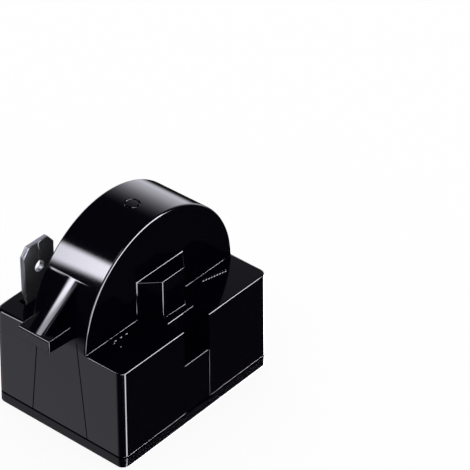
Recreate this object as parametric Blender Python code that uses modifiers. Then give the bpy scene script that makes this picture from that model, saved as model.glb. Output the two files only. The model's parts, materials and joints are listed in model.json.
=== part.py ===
"""Compressor start relay.

A moulded housing with a half-round dome holds a ceramic pill between two spring contacts. Two
rolled receptacles grip the compressor's pins through the base cover, and a folded quick-connect
tab stands out of the back ledge.

Axes: +X runs along the block, away from the catch shelf, +Y towards the tab, and +Z up. The
origin is on the underside of the base cover, at the centre of the block. Sizes are in metres.
"""

import math

import bmesh
import bpy
from mathutils import Matrix

MM = 0.001

# Fits
CLEARANCE = 0.3 * MM

# Block, measured across its ledges, from where its sides lean out by the mould's draft
BLOCK_LENGTH = 31.5 * MM
LEDGE_HEIGHT = 16.7 * MM
FRONT_LEDGE = 6.95 * MM
BACK_LEDGE = 7.45 * MM
CORNER_RADIUS = 1.2 * MM
DRAFT_ANGLE = 0.8
WALL = 1.3 * MM
EDGE_ROUND = 0.3 * MM

# Dome, flush with both ends of the block
DOME_WIDTH = 9.7 * MM
DOME_AXIS_DROP = 0.55 * MM
GATE_MARK_DIAMETER = 2.2 * MM
GATE_MARK_DEPTH = 0.2 * MM

# Boss in front of the dome
BOSS_BASE = 9.8 * MM
BOSS_FACE = 4.6 * MM
BOSS_REACH = 2.6 * MM
BOSS_HEIGHT = 6.45 * MM

# Notch in the front ledge, with a shallow panel below it
NOTCH_WIDTH = 5.3 * MM
NOTCH_DEPTH = 2.9 * MM
NOTCH_FLOOR = 10.3 * MM
PANEL_DEPTH = 0.2 * MM

# Catch shelf at the end of the block, and the gusset above it
SHELF_REACH = 4.65 * MM
SHELF_WIDTH = 5.8 * MM
SHELF_TOP = 20.75 * MM
SHELF_TIP = 2.0 * MM
SHELF_ROOT = 2.6 * MM
GUSSET_WIDTH = 2.7 * MM
GUSSET_ANGLE = 38.0
GUSSET_SETBACK = 0.3 * MM

# Base cover
COVER_THICKNESS = 1.6 * MM
COVER_ROUND = 0.2 * MM
LIP_HEIGHT = 1.5 * MM
LIP_THICKNESS = 1.0 * MM
CRADLE_WIDTH = 15.0 * MM
CRADLE_THICKNESS = 2.0 * MM
FENCE_HEIGHT = 2.0 * MM
FENCE_THICKNESS = 1.0 * MM
ENTRY_DEPTH = 0.9 * MM
ENTRY_FLARE = 0.9 * MM

# Pill and the ribs that hold its rim inside the dome
PILL_DIAMETER = 20.0 * MM
PILL_THICKNESS = 2.5 * MM
PILL_EDGE = 0.25 * MM
RIB_THICKNESS = 1.2 * MM
RIB_ANGLES = (45.0, 90.0, 135.0)

# Compressor pins and the receptacles that grip them
PIN_DIAMETER = 3.2 * MM
PIN_PITCH = 9.6 * MM
PIN_PLAY = 0.4 * MM
SHEET = 0.4 * MM
END_GAP = 2.25 * MM
ROLL_ANGLE = 300.0
CLIP_SHEET = 0.3 * MM
CLIP_HEIGHT = 3.0 * MM
CLIP_START_ANGLE = 120.0
CLIP_ANGLE = 255.0

# Contact springs
SPRING_SHEET = 0.25 * MM
SPRING_WIDTH = 7.0 * MM
SPRING_SLIT = 1.0 * MM
SPRING_SPAN = 10.0 * MM
SPRING_END = 0.9 * MM

# Riveted joints
JOINT_HEIGHT = 3.8 * MM
JOINT_DROP = 6.65 * MM
RIVET_SHANK = 1.3 * MM
RIVET_HEAD = 2.6 * MM
RIVET_HEAD_HEIGHT = 0.5 * MM
RIVET_SPACING = 4.0 * MM

# Run terminal, whose folded tab takes a 6.3 mm push-on connector
TAB_WIDTH = 6.3 * MM
TAB_FROM_END = 6.55 * MM
TAB_BACK_GAP = 0.6 * MM
TAB_REACH = 9.1 * MM
TAB_CHAMFER = 1.2 * MM
TAB_CHAMFER_RISE = 1.5 * MM
TAB_HOLE = 1.8 * MM
TAB_HOLE_RISE = 4.9 * MM
TAB_SHOULDER = 0.7 * MM
TAB_FOOT_RISE = 0.3 * MM
TAB_FOLD_RISE = 2.0 * MM
NECK_SETBACK = 0.05 * MM
BEND_RADIUS = 0.5 * MM
SEAM_WIDTH = 0.2 * MM
STRIP_WIDTH = 4.0 * MM

# Facets of the round forms
DOME_STEPS = 56
PILL_STEPS = 60
HOLE_STEPS = 20
ROLL_STEPS = 18
BOW_STEPS = 20
RIVET_STEPS = 12
FENCE_STEPS = 12
CORNER_STEPS = 4
BEND_STEPS = 3

# Places worked out from the sizes above
FLOOR = COVER_THICKNESS + CLEARANCE
BLOCK_WIDTH = FRONT_LEDGE + DOME_WIDTH + BACK_LEDGE
BLOCK_FRONT = -BLOCK_WIDTH / 2
DOME_FRONT = BLOCK_FRONT + FRONT_LEDGE
DOME_CENTRE = DOME_FRONT + DOME_WIDTH / 2
DOME_BACK = DOME_FRONT + DOME_WIDTH
DOME_RADIUS = BLOCK_LENGTH / 2
DOME_AXIS = LEDGE_HEIGHT - DOME_AXIS_DROP
CAVITY_LENGTH = BLOCK_LENGTH - 2 * WALL
CAVITY_WIDTH = BLOCK_WIDTH - 2 * WALL
CAVITY_CORNER = CORNER_RADIUS - WALL / 2
CAVITY_TOP = LEDGE_HEIGHT - WALL
SLOT_HALF = DOME_WIDTH / 2 - WALL
SHELF_TIP_X = -DOME_RADIUS - SHELF_REACH
NOTCH_WALL_FOOT = NOTCH_FLOOR - WALL

# Distances from the pill's middle plane, outwards through each side's contacts
SPRING_BACK = SLOT_HALF - CLEARANCE
SPRING_MIDDLE = SPRING_BACK - SPRING_SHEET / 2
LINK_NEAR = SPRING_BACK + CLEARANCE
LINK_FAR = LINK_NEAR + SHEET
TAIL_NEAR = LINK_FAR + CLEARANCE
TAIL_FAR = TAIL_NEAR + SHEET
BARREL_RADIUS = PIN_DIAMETER / 2 + SHEET
SOCKET_OFFSET = TAIL_NEAR + BARREL_RADIUS
SOCKET_Y = DOME_CENTRE - SOCKET_OFFSET
SOCKET_TOP = NOTCH_WALL_FOOT - CLEARANCE
SOCKET_MIDDLE = (FLOOR + SOCKET_TOP) / 2
JOINT_CENTRE = DOME_AXIS - JOINT_DROP
JOINT_TOP = JOINT_CENTRE + JOINT_HEIGHT / 2
JOINT_FOOT = JOINT_CENTRE - JOINT_HEIGHT / 2
TAIL_TIP = CAVITY_LENGTH / 2 - END_GAP
TAIL_LENGTH = TAIL_TIP - PIN_PITCH / 2
TAIL_JOINT = TAIL_TIP - STRIP_WIDTH / 2
TAB_CENTRE = TAB_FROM_END - BLOCK_LENGTH / 2
TAB_BACK = CAVITY_WIDTH / 2 - TAB_BACK_GAP
TAB_FRONT = TAB_BACK - 2 * SHEET
NECK_MIDDLE = TAB_FRONT + NECK_SETBACK + SHEET / 2
TAB_TOP = LEDGE_HEIGHT + TAB_REACH


def start_collections():
    """Empty the scene and give it one collection for the relay and one for its cutters."""
    for old in list(bpy.data.objects):
        bpy.data.objects.remove(old, do_unlink=True)
    made = []
    for name in ("compressor_start_relay", "cutters"):
        collection = bpy.data.collections.new(name)
        bpy.context.scene.collection.children.link(collection)
        made.append(collection)
    return made


RELAY, CUTTERS = start_collections()


def finish(name, colour, roughness, metallic=0.0):
    """A plain material with one colour."""
    material = bpy.data.materials.new(name)
    material.use_nodes = True
    shader = material.node_tree.nodes["Principled BSDF"]
    shader.inputs["Base Color"].default_value = (*colour, 1.0)
    shader.inputs["Roughness"].default_value = roughness
    shader.inputs["Metallic"].default_value = metallic
    return material


def as_object(name, mesh, material=None):
    """Put a mesh in the relay's collection, or among the cutters if it has no material."""
    made = bpy.data.objects.new(name, mesh)
    if material is None:
        CUTTERS.objects.link(made)
        made.hide_render = True
        made.display_type = "WIRE"
    else:
        RELAY.objects.link(made)
        mesh.materials.append(material)
        mesh.shade_smooth()
        mesh.set_sharp_from_angle(angle=math.radians(30))
    return made


def combine(target, tool, operation):
    """Join a form to a piece, or cut it out."""
    modifier = target.modifiers.new(tool.name, "BOOLEAN")
    modifier.operation = operation
    modifier.solver = "EXACT"
    modifier.object = tool


def arc(radius, start, end, steps, centre=(0.0, 0.0)):
    """Points along an arc between two angles in degrees, both ends included."""
    points = []
    for step in range(steps + 1):
        angle = math.radians(start + (end - start) * step / steps)
        points.append((centre[0] + radius * math.cos(angle), centre[1] + radius * math.sin(angle)))
    return points


def circle(radius, centre):
    """One closed loop of points."""
    return arc(radius, 0, 360, HOLE_STEPS, centre)[:-1]


def rounded_rectangle(length, width, radius):
    """A rectangle about the origin whose corners are arcs."""
    points = []
    for quarter, (side_x, side_y) in enumerate(((1, 1), (-1, 1), (-1, -1), (1, -1))):
        centre = (side_x * (length / 2 - radius), side_y * (width / 2 - radius))
        points += arc(radius, 90 * quarter, 90 * quarter + 90, CORNER_STEPS, centre)
    return points


# How an outline's two directions and its thickness turn into x, y and z
PLANES = {
    "XY": Matrix.Identity(4),
    "XZ": Matrix.Rotation(math.radians(90), 4, "X"),
    "YZ": Matrix(((0, 0, 1, 0), (1, 0, 0, 0), (0, 1, 0, 0), (0, 0, 0, 1))),
}
NORMALS = {"XY": (0, 0, 1), "XZ": (0, 1, 0), "YZ": (1, 0, 0)}


def plate(name, loops, low, high, plane="XY", material=None):
    """A flat outline, with holes as further loops, made solid between two planes.

    The outline is filled at a thousand times its size, where the curve filler is at its best.
    """
    curve = bpy.data.curves.new(name, "CURVE")
    curve.dimensions = "2D"
    curve.fill_mode = "BOTH"
    curve.extrude = (high - low) / 2 / MM
    for loop in loops:
        spline = curve.splines.new("POLY")
        spline.points.add(len(loop) - 1)
        for point, (u, v) in zip(spline.points, loop):
            point.co = (u / MM, v / MM, 0.0, 1.0)
        spline.use_cyclic_u = True
    guide = bpy.data.objects.new(name, curve)
    CUTTERS.objects.link(guide)
    bpy.context.view_layer.update()
    depsgraph = bpy.context.evaluated_depsgraph_get()
    mesh = bpy.data.meshes.new_from_object(guide.evaluated_get(depsgraph))
    bpy.data.objects.remove(guide)
    middle = (low + high) / 2
    place = Matrix.Translation([middle * part for part in NORMALS[plane]])
    mesh.transform(place @ PLANES[plane] @ Matrix.Scale(MM, 4))
    form = bmesh.new()
    form.from_mesh(mesh)
    bmesh.ops.remove_doubles(form, verts=form.verts, dist=0.00001)
    bmesh.ops.dissolve_limit(form, angle_limit=math.radians(1), verts=form.verts,
                             edges=form.edges)
    bmesh.ops.recalc_face_normals(form, faces=form.faces)
    form.to_mesh(mesh)
    form.free()
    return as_object(name, mesh, material)


def box(name, low, high):
    """A rectangular cutter between two corners."""
    form = bmesh.new()
    bmesh.ops.create_cube(form, size=1.0)
    mesh = bpy.data.meshes.new(name)
    form.to_mesh(mesh)
    form.free()
    size = [high[axis] - low[axis] for axis in range(3)]
    middle = [(high[axis] + low[axis]) / 2 for axis in range(3)]
    mesh.transform(Matrix.Translation(middle) @ Matrix.Diagonal((*size, 1.0)))
    return as_object(name, mesh)


def rod(name, radius, low, high):
    """A round cutter along its own z axis."""
    form = bmesh.new()
    bmesh.ops.create_cone(form, cap_ends=True, segments=HOLE_STEPS, radius1=radius,
                          radius2=radius, depth=high - low)
    mesh = bpy.data.meshes.new(name)
    form.to_mesh(mesh)
    form.free()
    mesh.transform(Matrix.Translation((0, 0, (low + high) / 2)))
    return as_object(name, mesh)


def turned(name, profile, steps, material=None):
    """A profile, from its top to its foot, turned about z."""
    mesh = bpy.data.meshes.new(name)
    edges = [(index, index + 1) for index in range(len(profile) - 1)]
    mesh.from_pydata([(radius, 0, height) for radius, height in profile], edges, [])
    made = as_object(name, mesh, material)
    screw = made.modifiers.new("turn", "SCREW")
    screw.steps = steps
    screw.render_steps = steps
    screw.use_merge_vertices = True
    screw.merge_threshold = 0.00001
    screw.use_smooth_shade = material is not None
    return made


def round_edges(made, width, segments, chosen):
    """Round the edges that the test picks, before any modifier."""
    form = bmesh.new()
    form.from_mesh(made.data)
    edges = [edge for edge in form.edges if chosen(*(vert.co for vert in edge.verts))]
    bmesh.ops.bevel(form, geom=edges, offset=width, segments=segments, profile=0.5,
                    affect="EDGES")
    form.to_mesh(made.data)
    form.free()


def both_at(axis, value):
    """A test for edges whose two ends lie on one plane across an axis."""
    return lambda a, b: abs(a[axis] - value) < CLEARANCE / 10 > abs(b[axis] - value)


def lean_at(height):
    """How far the block's sides stand out at a height, by the mould's draft."""
    return math.tan(math.radians(DRAFT_ANGLE)) * (LEDGE_HEIGHT - height)


def lean_out(made):
    """Give a form with the block's outline the draft of its sides."""
    for vert in made.data.vertices:
        lean = lean_at(vert.co.z)
        vert.co.x += math.copysign(lean, vert.co.x)
        vert.co.y += math.copysign(lean, vert.co.y)


def dome_outline(radius, foot):
    """A half disc on two legs, which it meets flush at the height of the ledges."""
    start = math.degrees(math.asin(DOME_AXIS_DROP / radius))
    flush = 1 / math.cos(math.radians(start))
    rim = arc(radius, start, 180 - start, DOME_STEPS, (0, DOME_AXIS))
    return [(radius, foot)] + [(x * flush, z) for x, z in rim] + [(-radius, foot)]


def boss_outline(base, face, reach, root):
    """The boss in plan, from its root inside the dome to its front face."""
    return [
        (base / 2, root),
        (base / 2, DOME_FRONT),
        (face / 2, DOME_FRONT - reach),
        (-face / 2, DOME_FRONT - reach),
        (-base / 2, DOME_FRONT),
        (-base / 2, root),
    ]


def housing_outside(housing):
    """The dome, boss, shelf and gusset that stand on the block."""
    dome = plate("dome_form", [dome_outline(DOME_RADIUS, CAVITY_TOP - WALL)], DOME_FRONT,
                 DOME_BACK, "XZ")
    for face in (DOME_FRONT, DOME_BACK):
        round_edges(dome, EDGE_ROUND, 2, both_at(1, face))
    combine(housing, dome, "UNION")

    boss = plate("boss_form", [boss_outline(BOSS_BASE, BOSS_FACE, BOSS_REACH, DOME_CENTRE)],
                 CAVITY_TOP, LEDGE_HEIGHT + BOSS_HEIGHT)
    round_edges(boss, EDGE_ROUND, 2, both_at(2, LEDGE_HEIGHT + BOSS_HEIGHT))
    combine(housing, boss, "UNION")

    root = -DOME_RADIUS + 2 * WALL
    shelf = plate("shelf_form", [[
        (SHELF_TIP_X, SHELF_TOP),
        (SHELF_TIP_X, SHELF_TOP - SHELF_TIP),
        (root, SHELF_TOP - SHELF_ROOT),
        (root, SHELF_TOP),
    ]], -SHELF_WIDTH / 2, SHELF_WIDTH / 2, "XZ")
    round_edges(shelf, EDGE_ROUND / 2, 1, both_at(0, SHELF_TIP_X))
    combine(housing, shelf, "UNION")

    turn = math.radians(180 - GUSSET_ANGLE)
    touch = (DOME_RADIUS * math.cos(turn), DOME_AXIS + DOME_RADIUS * math.sin(turn))
    inner = DOME_RADIUS - 1.5 * WALL
    gusset = plate("gusset_form", [[
        (SHELF_TIP_X + GUSSET_SETBACK, SHELF_TOP - SHELF_TIP / 2),
        (SHELF_TIP_X + GUSSET_SETBACK, SHELF_TOP),
        touch,
        (inner * math.cos(turn), DOME_AXIS + inner * math.sin(turn)),
        (root, SHELF_TOP - SHELF_TIP / 2),
    ]], -GUSSET_WIDTH / 2, GUSSET_WIDTH / 2, "XZ")
    combine(housing, gusset, "UNION")


def housing_cavity(housing):
    """Hollow the housing to its wall, leaving the notch's own walls standing."""
    cavity = plate("cavity_cutter", [rounded_rectangle(CAVITY_LENGTH, CAVITY_WIDTH,
                                                       CAVITY_CORNER)],
                   FLOOR - WALL, CAVITY_TOP)
    pill_slot = plate("pill_slot_cutter", [dome_outline(DOME_RADIUS - WALL, CAVITY_TOP - WALL)],
                      DOME_CENTRE - SLOT_HALF, DOME_CENTRE + SLOT_HALF, "XZ")
    combine(cavity, pill_slot, "UNION")

    slope = (BOSS_BASE - BOSS_FACE) / 2 / BOSS_REACH
    reach = BOSS_REACH - WALL
    base = BOSS_BASE - 2 * WALL * math.hypot(1, slope)
    pocket = plate("boss_pocket_cutter", [boss_outline(base, base - 2 * slope * reach, reach,
                                                       DOME_CENTRE)],
                   CAVITY_TOP - WALL, LEDGE_HEIGHT + BOSS_HEIGHT - WALL)
    combine(cavity, pocket, "UNION")

    notch_walls = box("notch_walls",
                      (-NOTCH_WIDTH / 2 - WALL, BLOCK_FRONT, NOTCH_WALL_FOOT),
                      (NOTCH_WIDTH / 2 + WALL, BLOCK_FRONT + NOTCH_DEPTH + WALL, LEDGE_HEIGHT))
    combine(cavity, notch_walls, "DIFFERENCE")
    combine(housing, cavity, "DIFFERENCE")


def housing_ribs(housing):
    """Three ribs inside the dome, which stop just short of the pill's rim."""
    for number, angle in enumerate(RIB_ANGLES, 1):
        rib = box(f"pill_rib_form_{number}",
                  (PILL_DIAMETER / 2 + CLEARANCE, -SLOT_HALF - WALL / 2, -RIB_THICKNESS / 2),
                  (DOME_RADIUS - WALL / 2, SLOT_HALF + WALL / 2, RIB_THICKNESS / 2))
        rib.location = (0, DOME_CENTRE, DOME_AXIS)
        rib.rotation_euler = (0, -math.radians(angle), 0)
        combine(housing, rib, "UNION")


def housing_openings(housing):
    """The notch with its panel, the tab's slot and the gate mark on top of the dome."""
    outside = BLOCK_FRONT - WALL
    notch = plate("notch_cutter", [[
        (outside, FLOOR - WALL),
        (BLOCK_FRONT - lean_at(FLOOR - WALL) + PANEL_DEPTH, FLOOR - WALL),
        (BLOCK_FRONT - lean_at(NOTCH_FLOOR) + PANEL_DEPTH, NOTCH_FLOOR),
        (BLOCK_FRONT + NOTCH_DEPTH, NOTCH_FLOOR),
        (BLOCK_FRONT + NOTCH_DEPTH, LEDGE_HEIGHT + WALL),
        (outside, LEDGE_HEIGHT + WALL),
    ]], -NOTCH_WIDTH / 2, NOTCH_WIDTH / 2, "YZ")
    combine(housing, notch, "DIFFERENCE")

    slot = box("tab_slot_cutter",
               (TAB_CENTRE - TAB_WIDTH / 2 - CLEARANCE, TAB_FRONT - CLEARANCE, CAVITY_TOP - WALL),
               (TAB_CENTRE + TAB_WIDTH / 2 + CLEARANCE, TAB_BACK + CLEARANCE,
                LEDGE_HEIGHT + WALL))
    combine(housing, slot, "DIFFERENCE")

    mark = rod("gate_mark_cutter", GATE_MARK_DIAMETER / 2, -GATE_MARK_DEPTH, WALL)
    mark.location = (0, DOME_CENTRE, DOME_AXIS + DOME_RADIUS)
    combine(housing, mark, "DIFFERENCE")


def make_housing(material):
    """The one moulding that everything sits in, open at its foot."""
    housing = plate("housing", [rounded_rectangle(BLOCK_LENGTH, BLOCK_WIDTH, CORNER_RADIUS)],
                    FLOOR, LEDGE_HEIGHT, material=material)
    lean_out(housing)
    round_edges(housing, EDGE_ROUND, 2, both_at(2, LEDGE_HEIGHT))
    housing_outside(housing)
    housing_cavity(housing)
    housing_ribs(housing)
    housing_openings(housing)
    return housing


def make_base_cover(material):
    """The flush cover, with a lip that plugs into the housing and a cradle under the pill."""
    cover = plate("base_cover", [rounded_rectangle(BLOCK_LENGTH, BLOCK_WIDTH, CORNER_RADIUS)],
                  0, COVER_THICKNESS, material=material)
    lean_out(cover)
    round_edges(cover, COVER_ROUND, 3, both_at(2, 0))

    length = CAVITY_LENGTH - 2 * CLEARANCE
    width = CAVITY_WIDTH - 2 * CLEARANCE
    lip = plate("lip_form", [
        rounded_rectangle(length, width, CAVITY_CORNER),
        rounded_rectangle(length - 2 * LIP_THICKNESS, width - 2 * LIP_THICKNESS,
                          CAVITY_CORNER / 2),
    ], COVER_THICKNESS / 2, COVER_THICKNESS + LIP_HEIGHT)
    relief = TAB_WIDTH / 2 + TAB_SHOULDER + CLEARANCE
    lip_gap = box("lip_gap_cutter",
                  (TAB_CENTRE - relief, TAB_FRONT - CLEARANCE, COVER_THICKNESS),
                  (TAB_CENTRE + relief, CAVITY_WIDTH / 2, COVER_THICKNESS + 2 * LIP_HEIGHT))
    combine(cover, lip, "UNION")
    combine(cover, lip_gap, "DIFFERENCE")

    reach = PILL_DIAMETER / 2 + CLEARANCE
    swing = math.degrees(math.asin(CRADLE_WIDTH / 2 / reach))
    seat = arc(reach, 270 - swing, 270 + swing, FENCE_STEPS, (0, DOME_AXIS))
    cradle = plate("cradle_form", [
        [(-CRADLE_WIDTH / 2, COVER_THICKNESS / 2)] + seat
        + [(CRADLE_WIDTH / 2, COVER_THICKNESS / 2)]
    ], DOME_CENTRE - CRADLE_THICKNESS / 2, DOME_CENTRE + CRADLE_THICKNESS / 2, "XZ")
    combine(cover, cradle, "UNION")

    inner = BARREL_RADIUS + CLEARANCE
    outer = inner + FENCE_THICKNESS
    entry = [
        (0, COVER_THICKNESS + WALL),
        (PIN_DIAMETER / 2 + PIN_PLAY, COVER_THICKNESS + WALL),
        (PIN_DIAMETER / 2 + PIN_PLAY, ENTRY_DEPTH),
        (PIN_DIAMETER / 2 + PIN_PLAY + ENTRY_FLARE, 0),
        (PIN_DIAMETER / 2 + PIN_PLAY + ENTRY_FLARE, -WALL),
        (0, -WALL),
    ]
    for side, name in ((-1, "run"), (1, "start")):
        centre = (side * PIN_PITCH / 2, SOCKET_Y)
        loop = arc(outer, 180, 360, FENCE_STEPS, centre) + arc(inner, 360, 180, FENCE_STEPS, centre)
        fence = plate(f"{name}_fence_form", [loop], COVER_THICKNESS / 2,
                      COVER_THICKNESS + FENCE_HEIGHT)
        combine(cover, fence, "UNION")
        hole = turned(f"{name}_entry_cutter", entry, HOLE_STEPS)
        hole.location = (*centre, 0)
        combine(cover, hole, "DIFFERENCE")
    return cover


def make_pill(material):
    """The ceramic disc, upright inside the dome."""
    radius = PILL_DIAMETER / 2
    half = PILL_THICKNESS / 2
    pill = turned("ptc_pill", [
        (0, half),
        (radius - PILL_EDGE, half),
        (radius, half - PILL_EDGE),
        (radius, -half + PILL_EDGE),
        (radius - PILL_EDGE, -half),
        (0, -half),
    ], PILL_STEPS, material)
    pill.location = (0, DOME_CENTRE, DOME_AXIS)
    pill.rotation_euler = (math.radians(90), 0, 0)
    return pill


def make_socket(name, side, material):
    """A receptacle rolled from strip around a pin, with its tail left flat."""
    outer = BARREL_RADIUS
    inner = BARREL_RADIUS - SHEET
    path = [(TAIL_LENGTH, outer)] + arc(outer, 90, 90 + ROLL_ANGLE, ROLL_STEPS)
    path += arc(inner, 90 + ROLL_ANGLE, 90, ROLL_STEPS) + [(TAIL_LENGTH, inner)]
    loop = [(side * (PIN_PITCH / 2 + x), SOCKET_Y + y) for x, y in path]
    socket = plate(name, [loop], FLOOR, SOCKET_TOP, material=material)
    for z in tail_joint_heights():
        drill(socket, side * TAIL_JOINT, z, -1, TAIL_NEAR, TAIL_FAR)
    return socket


def make_clip(name, side, material):
    """A steel band round a receptacle, open where its tail leaves."""
    inner = BARREL_RADIUS + CLEARANCE
    outer = inner + CLIP_SHEET
    start = CLIP_START_ANGLE
    end = CLIP_START_ANGLE + CLIP_ANGLE
    path = arc(outer, start, end, ROLL_STEPS) + arc(inner, end, start, ROLL_STEPS)
    loop = [(side * (PIN_PITCH / 2 + x), SOCKET_Y + y) for x, y in path]
    return plate(name, [loop], SOCKET_MIDDLE - CLIP_HEIGHT / 2 + FENCE_HEIGHT / 2,
                 SOCKET_MIDDLE + CLIP_HEIGHT / 2 + FENCE_HEIGHT / 2, material=material)


def drill(made, x, z, side, near, far):
    """Cut a rivet's hole through a sheet that stands across y."""
    hole = rod(f"{made.name}_hole_{round(x / MM)}_{round(z / MM)}_cutter",
               RIVET_SHANK / 2 + CLEARANCE, near - WALL, far + WALL)
    hole.location = (x, DOME_CENTRE, z)
    hole.rotation_euler = (-math.radians(90) * side, 0, 0)
    combine(made, hole, "DIFFERENCE")


def tail_joint_heights():
    """Where two rivets sit, one above the other, in a receptacle's tail."""
    spacing = (SOCKET_TOP - FLOOR) / 2
    return (SOCKET_MIDDLE - spacing / 2, SOCKET_MIDDLE + spacing / 2)


def make_rivets(material):
    """Eight rivets: two through each spring and two through each receptacle's tail."""
    def rivet(name, x, z, side, near, far):
        grip = (far - near) / 2 + CLEARANCE
        profile = [
            (0, grip + RIVET_HEAD_HEIGHT),
            (RIVET_HEAD / 2 - RIVET_HEAD_HEIGHT / 2, grip + RIVET_HEAD_HEIGHT),
            (RIVET_HEAD / 2, grip + RIVET_HEAD_HEIGHT / 2),
            (RIVET_HEAD / 2, grip),
            (RIVET_SHANK / 2, grip),
            (RIVET_SHANK / 2, -grip),
            (RIVET_HEAD / 2, -grip),
            (RIVET_HEAD / 2, -grip - RIVET_HEAD_HEIGHT / 2),
            (RIVET_HEAD / 2 - RIVET_HEAD_HEIGHT / 2, -grip - RIVET_HEAD_HEIGHT),
            (0, -grip - RIVET_HEAD_HEIGHT),
        ]
        made = turned(name, profile, RIVET_STEPS, material)
        made.location = (x, DOME_CENTRE + side * (near + far) / 2, z)
        made.rotation_euler = (math.radians(90), 0, 0)

    for side, name in ((-1, "start"), (1, "run")):
        for number, x in enumerate((-RIVET_SPACING / 2, RIVET_SPACING / 2), 1):
            rivet(f"{name}_spring_rivet_{number}", x, JOINT_CENTRE, side,
                  SPRING_BACK - SPRING_SHEET, LINK_FAR)
        for number, z in enumerate(tail_joint_heights(), 1):
            rivet(f"{name}_socket_rivet_{number}", -side * TAIL_JOINT, z, -1, LINK_NEAR,
                  TAIL_FAR)


def folded_sheet(name, faces, thickness, material, bend=0.0):
    """Flat faces that share their fold lines, rounded there and given a sheet's thickness."""
    form = bmesh.new()
    for points in faces:
        form.faces.new([form.verts.new(point) for point in points])
    bmesh.ops.remove_doubles(form, verts=form.verts, dist=0.00001)
    bmesh.ops.recalc_face_normals(form, faces=form.faces)
    if bend:
        folds = [edge for edge in form.edges if len(edge.link_faces) == 2]
        bmesh.ops.bevel(form, geom=folds, offset=bend, segments=BEND_STEPS, profile=0.5,
                        affect="EDGES")
    mesh = bpy.data.meshes.new(name)
    form.to_mesh(mesh)
    form.free()
    made = as_object(name, mesh, material)
    sheet = made.modifiers.new("sheet", "SOLIDIFY")
    sheet.thickness = thickness
    sheet.offset = 0
    sheet.use_even_offset = True
    return made


def make_spring(name, side, material):
    """A leaf whose two fingers bow twice towards the pill's face."""
    contact = PILL_THICKNESS / 2 + CLEARANCE + SPRING_SHEET / 2
    bow = SPRING_MIDDLE - contact
    low = DOME_AXIS - SPRING_SPAN / 2
    profile = [(SPRING_MIDDLE, JOINT_FOOT)]
    for step in range(BOW_STEPS + 1):
        share = step / BOW_STEPS
        profile.append((SPRING_MIDDLE - bow * math.sin(2 * math.pi * share) ** 2,
                        low + SPRING_SPAN * share))
    profile.append((SPRING_MIDDLE, low + SPRING_SPAN + SPRING_END))

    rows = []
    for offset, height in profile:
        y = DOME_CENTRE + side * offset
        rows.append([(-SPRING_WIDTH / 2, y, height), (SPRING_WIDTH / 2, y, height)])
    faces = [lower + upper[::-1] for lower, upper in zip(rows, rows[1:])]
    spring = folded_sheet(name, faces, SPRING_SHEET, material)
    slit = box(f"{name}_slit_cutter",
               (-SPRING_SLIT / 2, DOME_CENTRE - SLOT_HALF, low),
               (SPRING_SLIT / 2, DOME_CENTRE + SLOT_HALF, low + SPRING_SPAN + 2 * SPRING_END))
    combine(spring, slit, "DIFFERENCE")
    for x in (-RIVET_SPACING / 2, RIVET_SPACING / 2):
        drill(spring, x, JOINT_CENTRE, side, SPRING_BACK - SPRING_SHEET, SPRING_BACK)
    return spring


def make_start_link(material):
    """The plate from the start receptacle's tail up to the start spring."""
    left = -SPRING_WIDTH / 2
    right = TAIL_TIP
    loops = [[
        (right - STRIP_WIDTH, FLOOR),
        (right, FLOOR),
        (right, JOINT_TOP),
        (left, JOINT_TOP),
        (left, JOINT_FOOT),
        (right - STRIP_WIDTH, JOINT_FOOT),
    ]]
    hole = RIVET_SHANK / 2 + CLEARANCE
    loops += [circle(hole, (TAIL_JOINT, z)) for z in tail_joint_heights()]
    loops += [circle(hole, (x, JOINT_CENTRE)) for x in (-RIVET_SPACING / 2, RIVET_SPACING / 2)]
    return plate("start_link", loops, DOME_CENTRE - LINK_FAR, DOME_CENTRE - LINK_NEAR, "XZ",
                 material)


def upright_face(left, right, y, foot, top):
    """The corners of a face bent up from the strip's floor."""
    return [(left, y, foot), (right, y, foot), (right, y, top), (left, y, top)]


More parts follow.
